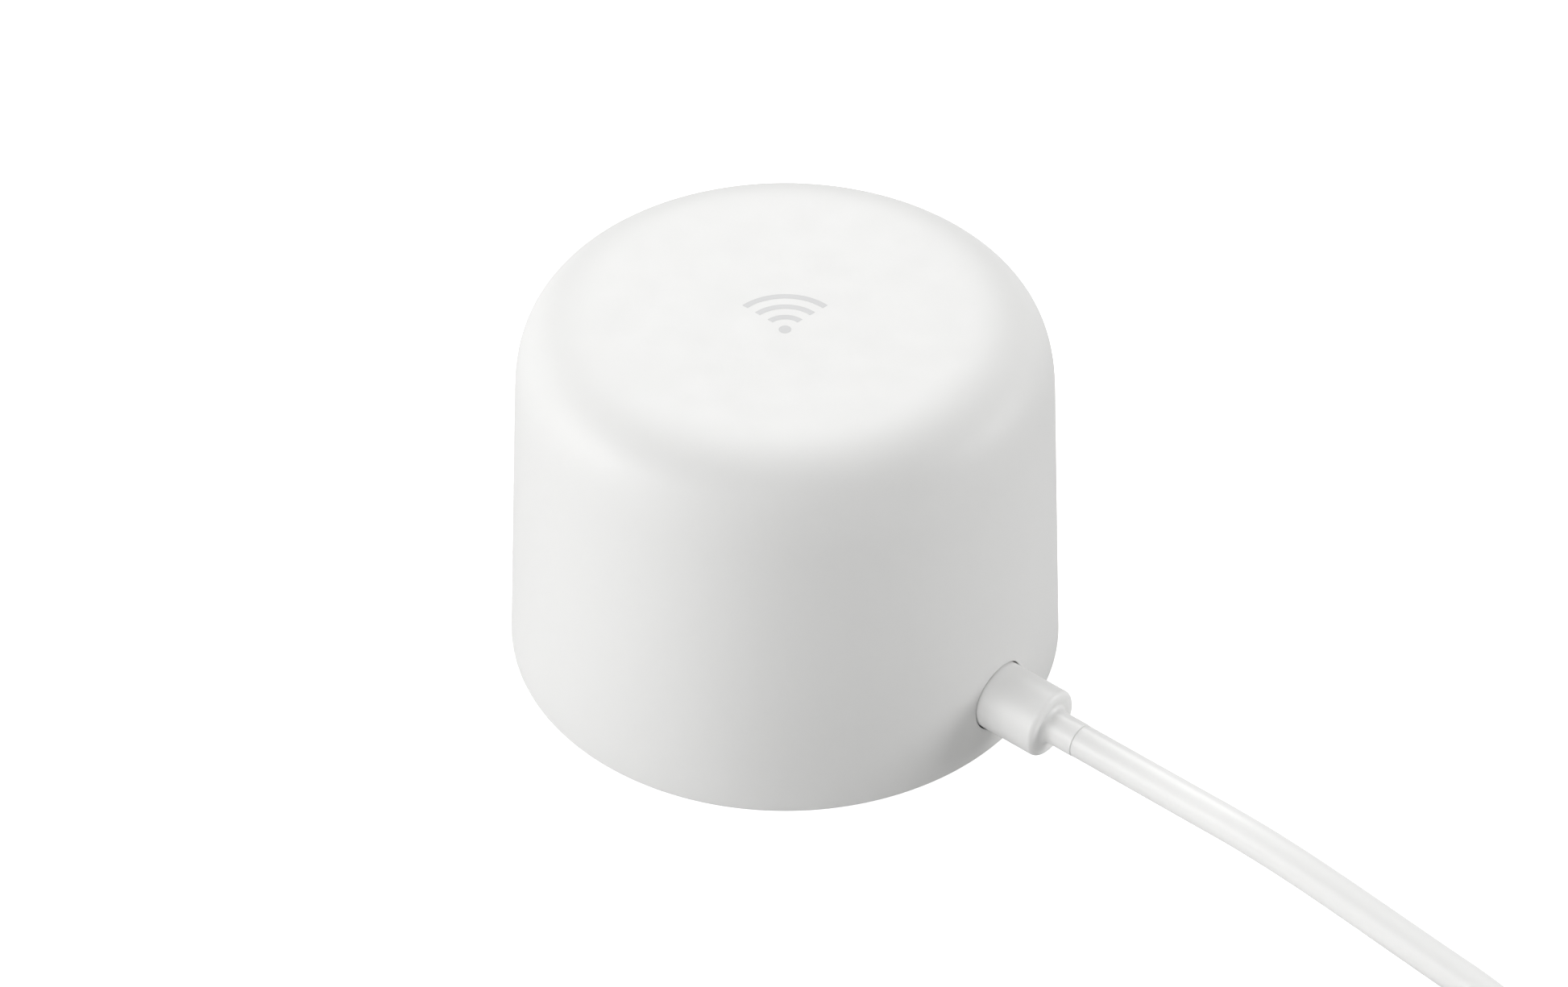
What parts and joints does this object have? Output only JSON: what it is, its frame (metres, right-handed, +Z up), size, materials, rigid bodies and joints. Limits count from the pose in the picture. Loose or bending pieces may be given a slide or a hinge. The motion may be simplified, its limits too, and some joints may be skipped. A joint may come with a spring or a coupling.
{
  "type": "wireless router",
  "caption": "Small round wireless router with a domed white cover, a jack and reset button at the back, and a power lead with a round-collared plug.",
  "frame": {"origin": "centre of the foot's underside, on the surface the router stands on", "axes": "+Z up; +X out along the power plug, at the front; the network jack faces -X and the reset button faces +Y"},
  "size_m": [0.1894, 0.147, 0.0563],
  "materials": {
    "cover": "fine satin moulded plastic, white",
    "base": "fine textured moulded plastic, white",
    "foot": "matt silicone rubber, grey",
    "steel": "zinc plated steel screws",
    "board": "glass fibre circuit board with green solder mask",
    "tin": "tin plated sheet steel",
    "black_plastic": "glass filled black plastic",
    "chip": "moulded black epoxy",
    "contact_gold": "gold plated contact metal",
    "antenna_metal": "stamped antenna metal",
    "thermal_pad": "soft heat pad, blue grey",
    "heatsink": "extruded aluminium, bare",
    "can": "drawn aluminium can",
    "carrier": "moulded plastic, light grey",
    "coax": "thin cable jacket, black",
    "ribbon": "thin cable, pale",
    "light": "milky light guide",
    "button": "satin moulded plastic, white",
    "plug": "satin overmoulding, white",
    "plug_metal": "nickel plated drawn steel",
    "cord": "smooth soft cable jacket, white",
    "tie": "soft flat strap, black"
  },
  "bodies": {
    "router": {"outer_cover": "cover", "base_plate": "base", "foot_ring": "foot", "base_screw_1": "steel", "base_screw_2": "steel", "base_screw_3": "steel", "base_screw_4": "steel", "heatsink_screw_1": "steel", "heatsink_screw_2": "steel", "carrier_screw_1": "steel", "carrier_screw_2": "steel", "main_board": "board", "light_board": "board", "network_jack_shield": "tin", "radio_shield_1": "tin", "radio_shield_2": "tin", "power_socket_shell": "tin", "network_jack_housing": "black_plastic", "power_socket_insert": "black_plastic", "reset_switch": "black_plastic", "processor": "chip", "memory_chip": "chip", "flash_chip": "chip", "network_transformer": "chip", "power_inductor": "chip", "network_jack_contacts": "contact_gold", "coax_plug_1": "contact_gold", "coax_plug_2": "contact_gold", "coax_plug_3": "contact_gold", "coax_plug_4": "contact_gold", "antenna_1": "antenna_metal", "antenna_2": "antenna_metal", "antenna_3": "antenna_metal", "antenna_4": "antenna_metal", "thermal_pad": "thermal_pad", "heatsink": "heatsink", "capacitor_1": "can", "capacitor_2": "can", "capacitor_3": "can", "antenna_carrier": "carrier", "coax_cable_1": "coax", "coax_cable_2": "coax", "coax_cable_3": "coax", "coax_cable_4": "coax", "light_ribbon": "ribbon", "status_led": "light", "light_guide": "light"},
    "reset_button": {"reset_button": "button", "reset_switch_plunger": "button"},
    "lead": {"plug_collar": "plug", "plug_tip": "plug_metal", "plug_neck": "cord", "cord_run": "cord", "cord_coil": "cord", "cord_tail": "cord", "coil_tie": "tie", "far_plug_neck": "plug", "far_plug_body": "plug", "far_plug_tip": "plug_metal"}
  },
  "joints": [
    {"name": "reset_press", "type": "slide", "parent": "router", "child": "reset_button", "axis": [0, -1, 0], "range_m": [0, 0.0006], "stiffness_N_per_m": 2500},
    {"name": "plug_pull", "type": "slide", "parent": "router", "child": "lead", "axis": [1, 0, 0], "range_m": [0, 0.02]}
  ]
}
